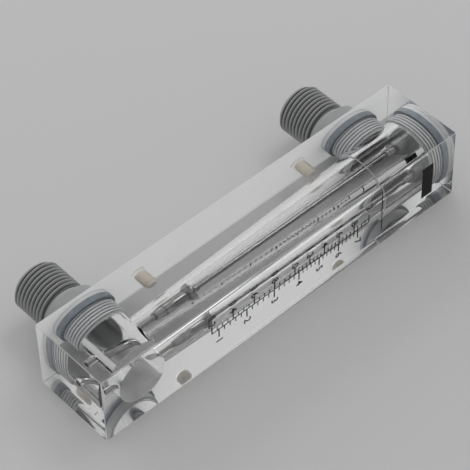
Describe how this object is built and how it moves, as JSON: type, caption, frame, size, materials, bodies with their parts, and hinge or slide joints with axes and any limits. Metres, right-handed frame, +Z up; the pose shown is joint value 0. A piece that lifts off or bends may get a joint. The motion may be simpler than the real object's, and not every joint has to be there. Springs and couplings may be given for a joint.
{
  "type": "rotameter",
  "caption": "Clear acrylic block flow meter with a tapered bore, steel float on a guide rod, and threaded pipe fittings at the back.",
  "frame": {"origin": "where the metering bore's axis meets the bottom face", "axes": "+Z up the metering bore towards the plug, scale face towards -Y, fittings leave towards +Y, +X to the reader's right"},
  "size_m": [0.033, 0.0637, 0.176],
  "materials": {
    "clear_acrylic": "clear, polished faces",
    "grey_plastic": "satin moulded",
    "seal_rubber": "smooth, translucent grey",
    "polished_steel": "turned and polished",
    "stop_steel": "turned",
    "insert_brass": "pale, ribbed"
  },
  "bodies": {
    "meter": {"acrylic_body": "clear_acrylic", "top_plug": "grey_plastic", "top_plug_seal": "seal_rubber", "inlet_fitting": "grey_plastic", "inlet_seal": "seal_rubber", "outlet_fitting": "grey_plastic", "outlet_seal": "seal_rubber", "guide_rod": "polished_steel", "upper_stop": "stop_steel", "mounting_inserts": "insert_brass"},
    "float": {"float": "polished_steel"}
  },
  "joints": [
    {"name": "float_rise", "type": "slide", "parent": "meter", "child": "float", "axis": [0, 0, 1], "range_m": [0, 0.0967]}
  ]
}
